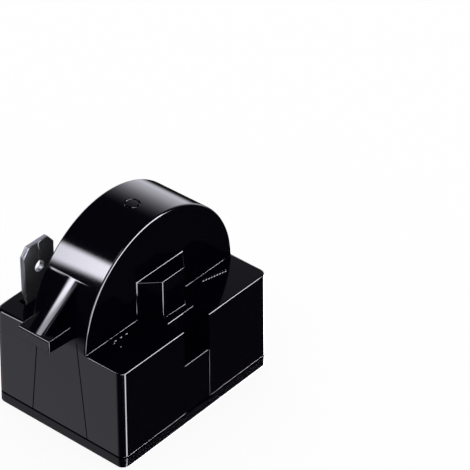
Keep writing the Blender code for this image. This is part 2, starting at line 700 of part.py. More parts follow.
def make_run_terminal(material):
    """One strip: the folded tab, the floor it stands on and the two lugs bent up from it."""
    front = DOME_CENTRE - (LINK_NEAR + LINK_FAR) / 2
    lug = DOME_CENTRE + (LINK_NEAR + LINK_FAR) / 2
    left = -TAIL_TIP
    edge = left + STRIP_WIDTH
    spring_half = SPRING_WIDTH / 2
    shoulder_left = TAB_CENTRE - TAB_WIDTH / 2 - TAB_SHOULDER
    shoulder_right = TAB_CENTRE + TAB_WIDTH / 2 + TAB_SHOULDER
    floor = FLOOR + SHEET / 2
    floor_loop = [
        (left, front),
        (edge, front),
        (edge, lug),
        (-spring_half, lug),
        (spring_half, lug),
        (spring_half, lug + STRIP_WIDTH),
        (shoulder_right, lug + STRIP_WIDTH),
        (shoulder_right, NECK_MIDDLE),
        (shoulder_left, NECK_MIDDLE),
        (shoulder_left, NECK_MIDDLE - STRIP_WIDTH / 2),
        (left, NECK_MIDDLE - STRIP_WIDTH / 2),
    ]
    neck_top = LEDGE_HEIGHT + TAB_FOLD_RISE
    shoulder_top = CAVITY_TOP - CLEARANCE
    neck_left = TAB_CENTRE - TAB_WIDTH / 2 + SHEET
    neck_right = TAB_CENTRE + TAB_WIDTH / 2 - SHEET
    upright = [
        (shoulder_left, NECK_MIDDLE, floor),
        (shoulder_right, NECK_MIDDLE, floor),
        (shoulder_right, NECK_MIDDLE, shoulder_top),
        (neck_right, NECK_MIDDLE, shoulder_top),
        (neck_right, NECK_MIDDLE, neck_top),
        (neck_left, NECK_MIDDLE, neck_top),
        (neck_left, NECK_MIDDLE, shoulder_top),
        (shoulder_left, NECK_MIDDLE, shoulder_top),
    ]
    terminal = folded_sheet("run_terminal", [
        [(x, y, floor) for x, y in floor_loop],
        upright_face(left, edge, front, floor, SOCKET_TOP),
        upright_face(-spring_half, spring_half, lug, floor, JOINT_TOP),
        upright,
    ], SHEET, material, BEND_RADIUS)
    for z in tail_joint_heights():
        drill(terminal, -TAIL_JOINT, z, -1, LINK_NEAR, LINK_FAR)
    for x in (-RIVET_SPACING / 2, RIVET_SPACING / 2):
        drill(terminal, x, JOINT_CENTRE, 1, LINK_NEAR, LINK_FAR)
    combine(terminal, tab_blade(), "UNION")
    return terminal


def tab_blade():
    """The folded blade: its back layer fades out above the ledge, and its seam is in front."""
    half = TAB_WIDTH / 2
    blade = plate("tab_form", [[
        (TAB_FRONT, LEDGE_HEIGHT + TAB_FOOT_RISE),
        (TAB_FRONT, TAB_TOP),
        (TAB_BACK, TAB_TOP),
        (TAB_BACK, LEDGE_HEIGHT + TAB_FOLD_RISE),
        (TAB_FRONT + SHEET, LEDGE_HEIGHT + TAB_FOOT_RISE),
    ]], TAB_CENTRE - half, TAB_CENTRE + half, "YZ")
    for side in (-1, 1):
        round_edges(blade, SHEET / 2, 2, both_at(0, TAB_CENTRE + side * half))
    for side, name in ((-1, "left"), (1, "right")):
        corner = plate(f"tab_{name}_chamfer_cutter", [[
            (TAB_CENTRE + side * half, TAB_TOP - TAB_CHAMFER_RISE),
            (TAB_CENTRE + side * (half - TAB_CHAMFER), TAB_TOP),
            (TAB_CENTRE + side * (half - TAB_CHAMFER), TAB_TOP + TAB_CHAMFER_RISE),
            (TAB_CENTRE + side * (half + TAB_CHAMFER), TAB_TOP + TAB_CHAMFER_RISE),
            (TAB_CENTRE + side * (half + TAB_CHAMFER), TAB_TOP - 2 * TAB_CHAMFER_RISE),
        ]], TAB_FRONT - SHEET, TAB_BACK + SHEET, "XZ")
        combine(blade, corner, "DIFFERENCE")
    hole = rod("tab_hole_cutter", TAB_HOLE / 2, TAB_FRONT - SHEET, TAB_BACK + SHEET)
    hole.location = (TAB_CENTRE, 0, LEDGE_HEIGHT + TAB_HOLE_RISE)
    hole.rotation_euler = (-math.radians(90), 0, 0)
    combine(blade, hole, "DIFFERENCE")
    seam = box("tab_seam_cutter",
               (TAB_CENTRE - SEAM_WIDTH / 2, TAB_FRONT - SHEET, LEDGE_HEIGHT + TAB_HOLE_RISE),
               (TAB_CENTRE + SEAM_WIDTH / 2, TAB_FRONT + SHEET / 2, TAB_TOP + SHEET))
    combine(blade, seam, "DIFFERENCE")
    return blade


def build():
    """Make every piece and hang it from one empty at the origin."""
    black = finish("black_moulding", (0.008, 0.008, 0.009), 0.12)
    steel = finish("tinned_steel", (0.55, 0.56, 0.58), 0.32, 1.0)
    brass = finish("brass_strip", (0.72, 0.52, 0.22), 0.35, 1.0)
    spring_steel = finish("spring_steel", (0.45, 0.45, 0.46), 0.3, 1.0)
    ceramic = finish("silvered_ceramic", (0.35, 0.34, 0.32), 0.5)

    make_housing(black)
    make_base_cover(black)
    make_pill(ceramic)
    make_spring("start_spring", -1, spring_steel)
    make_spring("run_spring", 1, spring_steel)
    make_start_link(brass)
    make_run_terminal(steel)
    for side, name in ((-1, "run"), (1, "start")):
        make_socket(f"{name}_socket", side, brass)
        make_clip(f"{name}_socket_clip", side, spring_steel)
    make_rivets(brass)

    origin = bpy.data.objects.new("relay_origin", None)
    RELAY.objects.link(origin)
    for made in RELAY.objects:
        if made is not origin:
            made.parent = origin


build()
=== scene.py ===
# %% [markdown]
# # Compressor start relay
# A black moulded housing with a half-round dome, and a folded steel tab behind it. Inside it
# a ceramic pill switches a motor's start winding off as it warms. This file dresses the packed
# model: it adds finer surfaces and materials, and a studio round them.
#
# It reads from top to bottom. First come sizes and helpers, then the three pieces that show,
# then materials, then the camera and the light.

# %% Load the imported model
import json
import math

import bmesh
import bpy
from mathutils import Matrix, Vector


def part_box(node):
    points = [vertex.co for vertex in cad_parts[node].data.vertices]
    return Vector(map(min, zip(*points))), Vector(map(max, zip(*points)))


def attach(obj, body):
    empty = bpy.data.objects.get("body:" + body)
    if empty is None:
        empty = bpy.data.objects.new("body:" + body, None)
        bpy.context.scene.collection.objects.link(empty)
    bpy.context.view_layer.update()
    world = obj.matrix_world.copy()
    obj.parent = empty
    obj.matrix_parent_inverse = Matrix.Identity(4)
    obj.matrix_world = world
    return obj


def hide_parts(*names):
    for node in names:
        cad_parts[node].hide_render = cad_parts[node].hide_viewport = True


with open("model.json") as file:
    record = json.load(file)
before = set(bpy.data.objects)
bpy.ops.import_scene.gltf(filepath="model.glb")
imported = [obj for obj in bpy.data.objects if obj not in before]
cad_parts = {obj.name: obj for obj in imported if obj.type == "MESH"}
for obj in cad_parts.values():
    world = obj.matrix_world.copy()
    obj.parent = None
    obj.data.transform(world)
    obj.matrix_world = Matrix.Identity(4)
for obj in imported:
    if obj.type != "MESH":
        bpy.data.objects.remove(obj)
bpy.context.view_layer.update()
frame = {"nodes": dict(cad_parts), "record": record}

print("nodes:", len(frame["nodes"]))

# %% [markdown]
# ## Units and sizes
# The frame is in metres, and a moulding is drawn in millimetres, so every size below is
# written in millimetres times `MM`. The housing's reach comes from the frame's own box. The
# rest repeat the real sizes that the solids were drawn with, so that both models agree.
# Along x lies the block, y points from the notch to the tab, and z goes up through the dome.

# %% Sizes
MM = 0.001

HOUSING_LOW, HOUSING_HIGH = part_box("housing")
LEDGE = 16.7 * MM
DOME_SINK = 0.55 * MM
DOME_AXIS = LEDGE - DOME_SINK
DOME_RADIUS = HOUSING_HIGH.z - DOME_AXIS

FRONT_LEDGE = 6.95 * MM
DOME_WIDTH = 9.7 * MM
BACK_LEDGE = 7.45 * MM
BLOCK_LENGTH = 2 * DOME_RADIUS
BLOCK_WIDTH = FRONT_LEDGE + DOME_WIDTH + BACK_LEDGE
BLOCK_FRONT = -BLOCK_WIDTH / 2
DOME_FRONT = BLOCK_FRONT + FRONT_LEDGE
DOME_BACK = DOME_FRONT + DOME_WIDTH
DOME_MIDDLE = (DOME_FRONT + DOME_BACK) / 2

CLEARANCE = 0.3 * MM
SHEET = 0.4 * MM
CORNER_RADIUS = 1.2 * MM
DRAFT_ANGLE = 0.8
WALL = 1.3 * MM
COVER_TOP = 1.6 * MM
FOOT = COVER_TOP + CLEARANCE
SEAM_GAP = 0.24 * MM
SEAM_LOW = FOOT - SEAM_GAP

BOSS_BASE = 9.8 * MM
BOSS_FACE = 4.6 * MM
BOSS_REACH = 2.6 * MM
BOSS_TOP = LEDGE + 6.45 * MM

NOTCH_HALF = 5.3 / 2 * MM
NOTCH_BACK = BLOCK_FRONT + 2.9 * MM
NOTCH_FLOOR = 10.3 * MM
PANEL_DEPTH = 0.2 * MM

SHELF_TIP = HOUSING_LOW.x
SHELF_HALF = 5.8 / 2 * MM
SHELF_TOP = 20.75 * MM
SHELF_EDGE = 2.0 * MM
SHELF_ROOT = 2.6 * MM
GUSSET_HALF = 2.7 / 2 * MM
GUSSET_ANGLE = 38.0
GUSSET_SETBACK = 0.3 * MM
GUSSET_CROWN = 0.12 * MM

print("block", round(BLOCK_LENGTH / MM, 2), "x", round(BLOCK_WIDTH / MM, 2), "mm, dome radius",
      round(DOME_RADIUS / MM, 2), "mm")

# %% [markdown]
# ## Outlines
# A moulding is mostly flat outlines pushed through a thickness. An outline is a list of points
# in a plane, and its round stretches are arcs, so that no point is placed by hand.

# %% Arcs and rounded rectangles
def arc(radius, start, end, steps, centre=(0.0, 0.0)):
    """Points along an arc between two angles in degrees, both ends included."""
    angles = [math.radians(start + (end - start) * step / steps) for step in range(steps + 1)]
    return [(centre[0] + radius * math.cos(a), centre[1] + radius * math.sin(a)) for a in angles]


def rounded_rectangle(length, width, radius, steps=12):
    """A rectangle about the origin whose corners are arcs."""
    points = []
    for quarter, (side_x, side_y) in enumerate(((1, 1), (-1, 1), (-1, -1), (1, -1))):
        centre = (side_x * (length / 2 - radius), side_y * (width / 2 - radius))
        points += arc(radius, 90 * quarter, 90 * quarter + 90, steps, centre)
    return points


print("points round the block:", len(rounded_rectangle(BLOCK_LENGTH, BLOCK_WIDTH, CORNER_RADIUS)))

# %% [markdown]
# ## Solids
# `prism` fills an outline with one face and extrudes it, which leaves large clean faces for
# the Booleans that follow. The outline may lie in any of three planes, and the push may lean.

# %% Prisms and boxes
PLANES = {
    "XY": Matrix.Identity(4),
    "XZ": Matrix(((1, 0, 0, 0), (0, 0, 1, 0), (0, 1, 0, 0), (0, 0, 0, 1))),
    "YZ": Matrix(((0, 0, 1, 0), (1, 0, 0, 0), (0, 1, 0, 0), (0, 0, 0, 1))),
}


def new_object(name, form):
    """Turn a bmesh into an object in the scene, with its faces pointing out."""
    bmesh.ops.recalc_face_normals(form, faces=form.faces)
    mesh = bpy.data.meshes.new(name)
    form.to_mesh(mesh)
    form.free()
    made = bpy.data.objects.new(name, mesh)
    bpy.context.scene.collection.objects.link(made)
    return made


def prism(name, outline, low, high, plane="XY", lean=(0.0, 0.0, 0.0)):
    """An outline filled with one face and pushed from low to high across its plane."""
    form = bmesh.new()
    turn = PLANES[plane]
    corners = [form.verts.new(turn @ Vector((u, v, low))) for u, v in outline]
    base = form.faces.new(corners)
    grown = bmesh.ops.extrude_face_region(form, geom=[base])
    top = [item for item in grown["geom"] if isinstance(item, bmesh.types.BMVert)]
    bmesh.ops.translate(form, verts=top, vec=turn @ Vector((0, 0, high - low)) + Vector(lean))
    return new_object(name, form)


def box(name, low, high):
    """A rectangular solid between two corners."""
    outline = [(low[0], low[1]), (high[0], low[1]), (high[0], high[1]), (low[0], high[1])]
    return prism(name, outline, low[2], high[2])


print("planes:", list(PLANES))

# %% [markdown]
# ## Draft
# A moulding's sides lean by a degree or so, which is their draft, or it would not leave its
# mould. Here it is given to a finished prism, by how far each point lies below the top.

# %% Draft
def lean_at(height, top=LEDGE):
    """How far a moulded side stands out at a height below its top, by the draft."""
    return math.tan(math.radians(DRAFT_ANGLE)) * (top - height)


def lean_out(made, top=LEDGE, middle=0.0, axes=(0, 1)):
    """Give a form's sides their draft below its top, and return it."""
    for vert in made.data.vertices:
        for axis in axes:
            side = vert.co.y - middle if axis else vert.co.x
            vert.co[axis] += math.copysign(lean_at(vert.co.z, top), side)
    return made


print("the foot stands out by", round(lean_at(FOOT) / MM, 2), "mm")

# %% [markdown]
# ## Joins and cuts
# Forms are joined and cut by Boolean modifiers, each baked before the next one comes. The
# manifold solver is the choice here, because it keeps every step a closed solid, also where a
# finely rounded corner meets a cut.

# %% Joins and cuts
SOLVER = "MANIFOLD"


def settle(made):
    """Bake an object's modifiers into its mesh."""
    bpy.context.view_layer.update()
    depsgraph = bpy.context.evaluated_depsgraph_get()
    mesh = bpy.data.meshes.new_from_object(made.evaluated_get(depsgraph))
    made.modifiers.clear()
    made.data = mesh
    return made


def combine(target, tool, operation):
    """Join a form to a solid or cut it out, and throw the tool away."""
    modifier = target.modifiers.new(tool.name, "BOOLEAN")
    modifier.operation = operation
    modifier.solver = SOLVER
    modifier.object = tool
    settle(target)
    bpy.data.objects.remove(tool)
    return target


print("joins and cuts by the", SOLVER.lower(), "solver")

# %% [markdown]
# ## Rounded edges
# A mould has small radii on most edges, and on black gloss those radii are what the eye
# sees: each one catches a lamp as a thin bright line. The Bevel modifier rounds convex and
# concave edges alike. Each edge carries a weight, so that a rim, a foot and a shallow panel
# can have radii of their own in a single pass. Weighted normals keep the flats flat.

# %% Rounded edges
LARGEST_ROUND = 0.5 * MM
ROUND_STEPS = 4
EDGE_ANGLE = math.radians(20)
CREASE_ANGLE = math.radians(28)
FLAT_ANGLE = math.radians(0.1)
MERGE = 0.001 * MM


def clean(made):
    """Merge flat faces that a Boolean split, so that only real edges are left."""
    form = bmesh.new()
    form.from_mesh(made.data)
    bmesh.ops.remove_doubles(form, verts=form.verts, dist=2 * MERGE)
    bmesh.ops.dissolve_limit(form, angle_limit=FLAT_ANGLE, verts=form.verts, edges=form.edges)
    form.to_mesh(made.data)
    form.free()


def round_edges(made, width_of):
    """Round every sharp edge by the width that width_of gives for its middle and its kind."""
    clean(made)
    form = bmesh.new()
    form.from_mesh(made.data)
    weight = form.edges.layers.float.new("bevel_weight_edge")
    count = 0
    for edge in form.edges:
        if len(edge.link_faces) == 2 and edge.calc_face_angle() > EDGE_ANGLE:
            middle = (edge.verts[0].co + edge.verts[1].co) / 2
            edge[weight] = width_of(middle, edge.is_convex) / LARGEST_ROUND
            count += 1
    form.to_mesh(made.data)
    form.free()
    bevel = made.modifiers.new("rounds", "BEVEL")
    bevel.width = LARGEST_ROUND
    bevel.limit_method = "WEIGHT"
    bevel.segments = ROUND_STEPS
    bevel.use_clamp_overlap = False
    settle(made)
    print(made.name, "edges rounded:", count)


def shade(made):
    """Smooth shading whose normals follow the large faces."""
    settle(made)
    made.data.shade_smooth()
    made.data.set_sharp_from_angle(angle=CREASE_ANGLE)
    normals = made.modifiers.new("normals", "WEIGHTED_NORMAL")
    normals.keep_sharp = True
    return settle(made)


# %% [markdown]
# ## The housing's outside
# The real housing is one moulding. It is drawn here as its toolmaker would cut it: a block,
# a half disc standing on it, a faceted boss in front, a catch shelf with a sloping gusset at
# one end, and a notch with a shallow panel below it. Booleans suit it better than pushed and
# pulled faces, because the forms meet at odd angles, such as the boss on the leaning dome.

# %% Block, dome and boss
DOME_STEPS = 160
ROOT = 3.0 * MM


def dome_outline(radius, foot, steps=DOME_STEPS):
    """A half disc on two legs, which it meets flush at the height of the ledges."""
    start = math.degrees(math.asin((LEDGE - DOME_AXIS) / radius))
    flush = 1 / math.cos(math.radians(start))
    rim = arc(radius, start, 180 - start, steps, (0, DOME_AXIS))
    return [(radius, foot)] + [(x * flush, z) for x, z in rim] + [(-radius, foot)]


def boss_outline(base, face, reach, root):
    """The boss in plan, from its root inside the dome to its front face."""
    return [
        (base / 2, root),
        (base / 2, DOME_FRONT),
        (face / 2, DOME_FRONT - reach),
        (-face / 2, DOME_FRONT - reach),
        (-base / 2, DOME_FRONT),
        (-base / 2, root),
    ]


housing = lean_out(prism("moulded_housing", rounded_rectangle(BLOCK_LENGTH, BLOCK_WIDTH, CORNER_RADIUS),
                         FOOT, LEDGE))
dome = prism("dome", dome_outline(DOME_RADIUS, LEDGE - ROOT), DOME_FRONT, DOME_BACK, "XZ")
combine(housing, lean_out(dome, DOME_AXIS + DOME_RADIUS, DOME_MIDDLE, (1,)), "UNION")
boss = prism("boss", boss_outline(BOSS_BASE, BOSS_FACE, BOSS_REACH, DOME_MIDDLE), LEDGE - ROOT, BOSS_TOP)
combine(housing, lean_out(boss, DOME_AXIS + DOME_RADIUS, DOME_MIDDLE, (1,)), "UNION")
print("faces after the boss:", len(housing.data.polygons))

# %% [markdown]
# ## Shelf and gusset
# The shelf is a plain wedge. The gusset's top is very slightly crowned, as a narrow rib comes
# out of a mould, and that crown gives it the soft-edged stripe of light. It is drawn as a
# crowned outline pushed along the slope, a little past the dome's skin, and trimmed inside the
# shelf.

# %% Shelf and gusset
GUSSET_OVERRUN = 1.12
GUSSET_DEPTH = 6.0 * MM
TRIM_DEPTH = 10.0 * MM

shelf_root = -DOME_RADIUS + 2 * WALL
combine(housing, prism("shelf", [
    (SHELF_TIP, SHELF_TOP),
    (SHELF_TIP, SHELF_TOP - SHELF_EDGE),
    (shelf_root, SHELF_TOP - SHELF_ROOT),
    (shelf_root, SHELF_TOP),
], -SHELF_HALF, SHELF_HALF, "XZ"), "UNION")

turn = math.radians(180 - GUSSET_ANGLE)
touch = Vector((DOME_RADIUS * math.cos(turn), 0, DOME_AXIS + DOME_RADIUS * math.sin(turn)))
tip = Vector((SHELF_TIP + GUSSET_SETBACK, 0, SHELF_TOP))
slope = (touch - tip) * GUSSET_OVERRUN
crown_radius = (GUSSET_HALF ** 2 + GUSSET_CROWN ** 2) / (2 * GUSSET_CROWN)
crown_angle = math.degrees(math.asin(GUSSET_HALF / crown_radius))
crown = arc(crown_radius, 90 - crown_angle, 90 + crown_angle, 10, (0, tip.z - crown_radius))
section = crown + [(-GUSSET_HALF, tip.z - GUSSET_DEPTH), (GUSSET_HALF, tip.z - GUSSET_DEPTH)]
gusset = prism("gusset", section, tip.x, tip.x + slope.x, "YZ", lean=(0, 0, slope.z))
combine(gusset, box("gusset_trim", (SHELF_TIP - WALL, -SHELF_HALF, SHELF_TOP - TRIM_DEPTH),
                    (0, SHELF_HALF, SHELF_TOP - SHELF_EDGE / 2)), "DIFFERENCE")
combine(housing, gusset, "UNION")
print("gusset crown", round(crown_angle, 1), "degrees each side")

# %% [markdown]
# ## Notch and panel
# The shallow panel runs out at the foot. The notch above it goes back to a wall in the front
# ledge, and its two sides have the mould's draft, so it is a little wider at its top.

# %% Notch and panel
outside = BLOCK_FRONT - WALL
combine(housing, prism("panel", [
    (outside, FOOT - WALL),
    (BLOCK_FRONT - lean_at(FOOT - WALL) + PANEL_DEPTH, FOOT - WALL),
    (BLOCK_FRONT - lean_at(NOTCH_FLOOR + WALL) + PANEL_DEPTH, NOTCH_FLOOR + WALL),
    (outside, NOTCH_FLOOR + WALL),
], -NOTCH_HALF, NOTCH_HALF, "YZ"), "DIFFERENCE")

notch = box("notch", (-NOTCH_HALF, outside, NOTCH_FLOOR), (NOTCH_HALF, NOTCH_BACK, LEDGE + WALL))
for vert in notch.data.vertices:
    vert.co.x += math.copysign(lean_at(NOTCH_FLOOR, vert.co.z), vert.co.x)
combine(housing, notch, "DIFFERENCE")
print("faces after the notch:", len(housing.data.polygons))

# %% [markdown]
# ## Radii
# The dome's rim has a radius of about a quarter of a millimetre, the ledges a fifth, and the
# boss, the panel and the foot a tenth. Where a mould's insert meets its body, as at the notch's
# sides and the shelf's root, the edge is left sharp, and no line of light shows there.

# %% Radii
RIM_ROUND = 0.28 * MM
LEDGE_ROUND = 0.2 * MM
BACK_LEDGE_ROUND = 0.36 * MM
BOSS_ROUND = 0.09 * MM
BOSS_ROOT_ROUND = 0.16 * MM
LEDGE_ROOT_ROUND = 0.1 * MM
NOTCH_ROUND = 0.07 * MM
NOTCH_BACK_ROUND = 0.04 * MM
PANEL_ROUND = 0.11 * MM
SHARP_ROUND = 0.03 * MM
FOOT_ROUND = 0.12 * MM
TIP_EDGE_ROUND = 0.27 * MM
SHELF_ROUND = 0.07 * MM
SHELF_FOOT_ROUND = 0.15 * MM
SHELF_REACH = 10.0 * MM
NEAR = 0.05 * MM
print("radii from", round(SHARP_ROUND / MM, 2), "to", round(BACK_LEDGE_ROUND / MM, 2), "mm")

# %% Round the housing's edges
def housing_round(middle, convex):
    """The radius of the housing edge whose middle is given."""
    # The foot, which the panel interrupts.
    if middle.z < FOOT + NEAR:
        return 0 if abs(middle.x) < NOTCH_HALF else FOOT_ROUND
    # The shelf and the gusset.
    if middle.x < -SHELF_REACH and abs(middle.y) < SHELF_HALF + NEAR:
        if not convex:
            on_crown = abs(middle.y) < GUSSET_HALF - NEAR and middle.z > SHELF_TOP + NEAR
            return SHELF_ROUND if on_crown else 0
        if middle.z < SHELF_TOP - NEAR and middle.x < -DOME_RADIUS:
            return SHELF_FOOT_ROUND
        return TIP_EDGE_ROUND if middle.x < SHELF_TIP + NEAR else SHELF_ROUND
    # The notch, whose sides lean, and the panel below it.
    if abs(middle.x) < NOTCH_HALF + 2 * NEAR and middle.y < NOTCH_BACK + NEAR:
        if not convex:
            return 0
        if middle.z > LEDGE - NEAR:
            return NOTCH_BACK_ROUND
        if middle.z > NOTCH_FLOOR - NEAR:
            return NOTCH_ROUND if middle.z < NOTCH_FLOOR + NEAR else 0
        return PANEL_ROUND if middle.x > 0 else 0
    # The ledges, and the inner corners where the dome and the boss stand on them.
    if abs(middle.z - LEDGE) < NEAR:
        if not convex:
            return 0 if BOSS_FACE / 2 < -middle.x < BOSS_BASE / 2 else LEDGE_ROOT_ROUND
        return BACK_LEDGE_ROUND if middle.y > DOME_BACK and middle.x < 0 else LEDGE_ROUND
    # The boss, in front of the leaning dome.
    if middle.y < DOME_FRONT - 2 * lean_at(LEDGE, DOME_AXIS + DOME_RADIUS):
        return BOSS_ROUND if middle.x < NOTCH_HALF else SHARP_ROUND
    # The dome's rims, the block's corners and the boss's root.
    return RIM_ROUND if convex else BOSS_ROOT_ROUND


round_edges(housing, housing_round)

# %% [markdown]
# ## Inside and small cuts
# The walls are even, as a moulding's are, so the cavity follows the outside. The notch's own
# walls stay, and three ribs hold the pill's rim. It is cut after the outer edges are rounded,
# so that the edges inside stay plain, which keeps the mesh light where nothing is seen.

# %% Hollow the housing
CAVITY_LENGTH = BLOCK_LENGTH - 2 * WALL
CAVITY_WIDTH = BLOCK_WIDTH - 2 * WALL
CAVITY_CORNER = CORNER_RADIUS - WALL / 2
CAVITY_TOP = LEDGE - WALL
SLOT_HALF = (DOME_BACK - DOME_FRONT) / 2 - WALL
NOTCH_WALL_FOOT = NOTCH_FLOOR - WALL

cavity = prism("cavity", rounded_rectangle(CAVITY_LENGTH, CAVITY_WIDTH, CAVITY_CORNER, 4),
               FOOT - WALL, CAVITY_TOP)
combine(cavity, prism("pill_slot", dome_outline(DOME_RADIUS - WALL, CAVITY_TOP - WALL, 60),
                      DOME_MIDDLE - SLOT_HALF, DOME_MIDDLE + SLOT_HALF, "XZ"), "UNION")
side_slope = (BOSS_BASE - BOSS_FACE) / 2 / BOSS_REACH
pocket_base = BOSS_BASE - 2 * WALL * math.hypot(1, side_slope)
pocket_reach = BOSS_REACH - WALL
pocket_face = pocket_base - 2 * side_slope * pocket_reach
combine(cavity, prism("boss_pocket", boss_outline(pocket_base, pocket_face, pocket_reach, DOME_MIDDLE),
                      CAVITY_TOP - WALL, BOSS_TOP - WALL), "UNION")
combine(cavity, box("notch_walls", (-NOTCH_HALF - WALL, BLOCK_FRONT, NOTCH_WALL_FOOT),
                    (NOTCH_HALF + WALL, NOTCH_BACK + WALL, LEDGE)), "DIFFERENCE")
combine(housing, cavity, "DIFFERENCE")

RIB_HALF = 1.2 / 2 * MM
PILL_RADIUS = 20.0 / 2 * MM
for angle in (45, 90, 135):
    rib = box(f"rib_{angle}", (PILL_RADIUS + CLEARANCE, -SLOT_HALF - WALL / 2, -RIB_HALF),
              (DOME_RADIUS - WALL / 2, SLOT_HALF + WALL / 2, RIB_HALF))
    rib.data.transform(Matrix.Translation((0, DOME_MIDDLE, DOME_AXIS))
                       @ Matrix.Rotation(-math.radians(angle), 4, "Y"))
    combine(housing, rib, "UNION")
print("housing after hollowing:", len(housing.data.polygons), "faces")

# %% [markdown]
# ## Tab slot
# The tab comes up through a slot in the back ledge, which is wider than the tab by the
# clearance all round.

# %% Tab slot
TAB_MIDDLE_X = -9.2 * MM
TAB_HALF = 6.3 / 2 * MM
TAB_THICKNESS = 0.8 * MM
TAB_INSET = 0.6 * MM
TAB_BACK = CAVITY_WIDTH / 2 - TAB_INSET
TAB_FRONT = TAB_BACK - TAB_THICKNESS
combine(housing, box("tab_slot",
                     (TAB_MIDDLE_X - TAB_HALF - CLEARANCE, TAB_FRONT - CLEARANCE, CAVITY_TOP - WALL),
                     (TAB_MIDDLE_X + TAB_HALF + CLEARANCE, TAB_BACK + CLEARANCE, LEDGE + WALL)),
        "DIFFERENCE")
print("tab slot at x", round(TAB_MIDDLE_X / MM, 2), "mm")

# %% [markdown]
# ## Marks of the mould
# Plastic enters at the gate, on the dome's crown, and leaves a round groove there. An ejector
# pin leaves a finer one on the front ledge. Both grooves are a small outline turned about z.
# The slide that forms the left end leaves two hairlines, which spread towards the foot. They
# are all cut last, because they are finer than the radii.

# %% Gate ring and ejector ring
def turned(name, profile, steps=48):
    """A closed outline of radius and height, turned about the z axis."""
    form = bmesh.new()
    rings = []
    for step in range(steps):
        angle = 2 * math.pi * step / steps
        rings.append([form.verts.new((r * math.cos(angle), r * math.sin(angle), z)) for r, z in profile])
    for ring, after in zip(rings, rings[1:] + rings[:1]):
        for index in range(len(profile)):
            other = (index + 1) % len(profile)
            form.faces.new((ring[index], ring[other], after[other], after[index]))
    bmesh.ops.remove_doubles(form, verts=form.verts, dist=MERGE)
    return new_object(name, form)


GATE_RADIUS = 1.05 * MM
GATE_LINE = 0.34 * MM
GATE_DEPTH = 0.2 * MM
ring_profile = arc(GATE_LINE / 2, 180, 360, 6, (GATE_RADIUS, 0))
ring_profile = [(r, z * GATE_DEPTH / GATE_LINE * 2) for r, z in ring_profile]
ring_profile += [(GATE_RADIUS + GATE_LINE / 2, WALL), (GATE_RADIUS - GATE_LINE / 2, WALL)]
gate_ring = turned("gate_ring", ring_profile)
gate_ring.data.transform(Matrix.Translation((0, DOME_MIDDLE, DOME_AXIS + DOME_RADIUS)))
combine(housing, gate_ring, "DIFFERENCE")

EJECTOR_RADIUS = 0.62 * MM
EJECTOR_LINE = 0.2 * MM
EJECTOR_DEPTH = 0.12 * MM
EJECTOR_PLACE = (-10.9 * MM, -7.0 * MM, LEDGE)
ejector_ring = turned("ejector_ring", [
    (EJECTOR_RADIUS - EJECTOR_LINE / 2, WALL),
    (EJECTOR_RADIUS - EJECTOR_LINE / 2, 0),
    (EJECTOR_RADIUS, -EJECTOR_DEPTH),
    (EJECTOR_RADIUS + EJECTOR_LINE / 2, 0),
    (EJECTOR_RADIUS + EJECTOR_LINE / 2, WALL),
])
ejector_ring.data.transform(Matrix.Translation(EJECTOR_PLACE))
combine(housing, ejector_ring, "DIFFERENCE")

print("rings of radius", round(GATE_RADIUS / MM, 2), "and", round(EJECTOR_RADIUS / MM, 2), "mm")

# %% Slide hairlines
SLIDE_TOP = 3.6 * MM
SLIDE_FOOT = 5.2 * MM
HAIRLINE = 0.18 * MM
HAIRLINE_DEPTH = 0.25 * MM
slide_top = SHELF_TOP - SHELF_ROOT
for side in (-1, 1):
    hairline = prism("hairline", [
        (side * SLIDE_TOP - HAIRLINE / 2, slide_top),
        (side * SLIDE_FOOT - HAIRLINE / 2, FOOT - WALL),
        (side * SLIDE_FOOT + HAIRLINE / 2, FOOT - WALL),
        (side * SLIDE_TOP + HAIRLINE / 2, slide_top),
    ], -DOME_RADIUS - WALL, -DOME_RADIUS + HAIRLINE_DEPTH, "YZ")
    combine(housing, lean_out(hairline), "DIFFERENCE")
print("hairlines", round(HAIRLINE / MM, 2), "mm wide")

# %% [markdown]
# ## Straight normals
# The round of a long edge is one strip of faces as long as the edge. Where its two ends run
# into other rounds, their normals tilt, and smooth shading would spread that tilt over the
# whole length, so the line of light would fade along it. Planes across x cut those strips near
# both ends. No form changes, but between the cuts every normal stands straight.

# %% Split the long rounds
def split_across(made, places):
    """Cut a form's faces at planes across x."""
    form = bmesh.new()
    form.from_mesh(made.data)
    for place in places:
        bmesh.ops.bisect_plane(form, geom=form.verts[:] + form.edges[:] + form.faces[:],
                               plane_co=(place, 0, 0), plane_no=(1, 0, 0))
    form.to_mesh(made.data)
    form.free()


SPLITS = [place * MM for place in (-10.8, -5.8, -3.3, 3.3, 5.8, 13.4)]
split_across(housing, SPLITS)
shade(housing)
print("housing:", len(housing.data.polygons), "faces")

# %% [markdown]
# ## Base cover
# The cover closes the foot and is flush with the block, so all that shows from the side is a
# strip and a hairline seam. Its top edge is left sharp, as it is on a cover that snaps in, and
# only its foot is rounded. Inside it has a lip that locates it in the housing, with a gap for
# the tab's strip, and a cradle for the pill.

# %% Base cover
LIP_TOP = COVER_TOP + 1.5 * MM
LIP_THICKNESS = 1.0 * MM
CRADLE_HALF = 15.0 / 2 * MM
CRADLE_THICKNESS = 2.0 * MM
COVER_FOOT_ROUND = 0.2 * MM
RELIEF_SPARE = 0.7 * MM

cover = lean_out(prism("moulded_base_cover", rounded_rectangle(BLOCK_LENGTH, BLOCK_WIDTH, CORNER_RADIUS),
                       0, SEAM_LOW))
round_edges(cover, lambda middle, convex: COVER_FOOT_ROUND if middle.z < NEAR else 0)

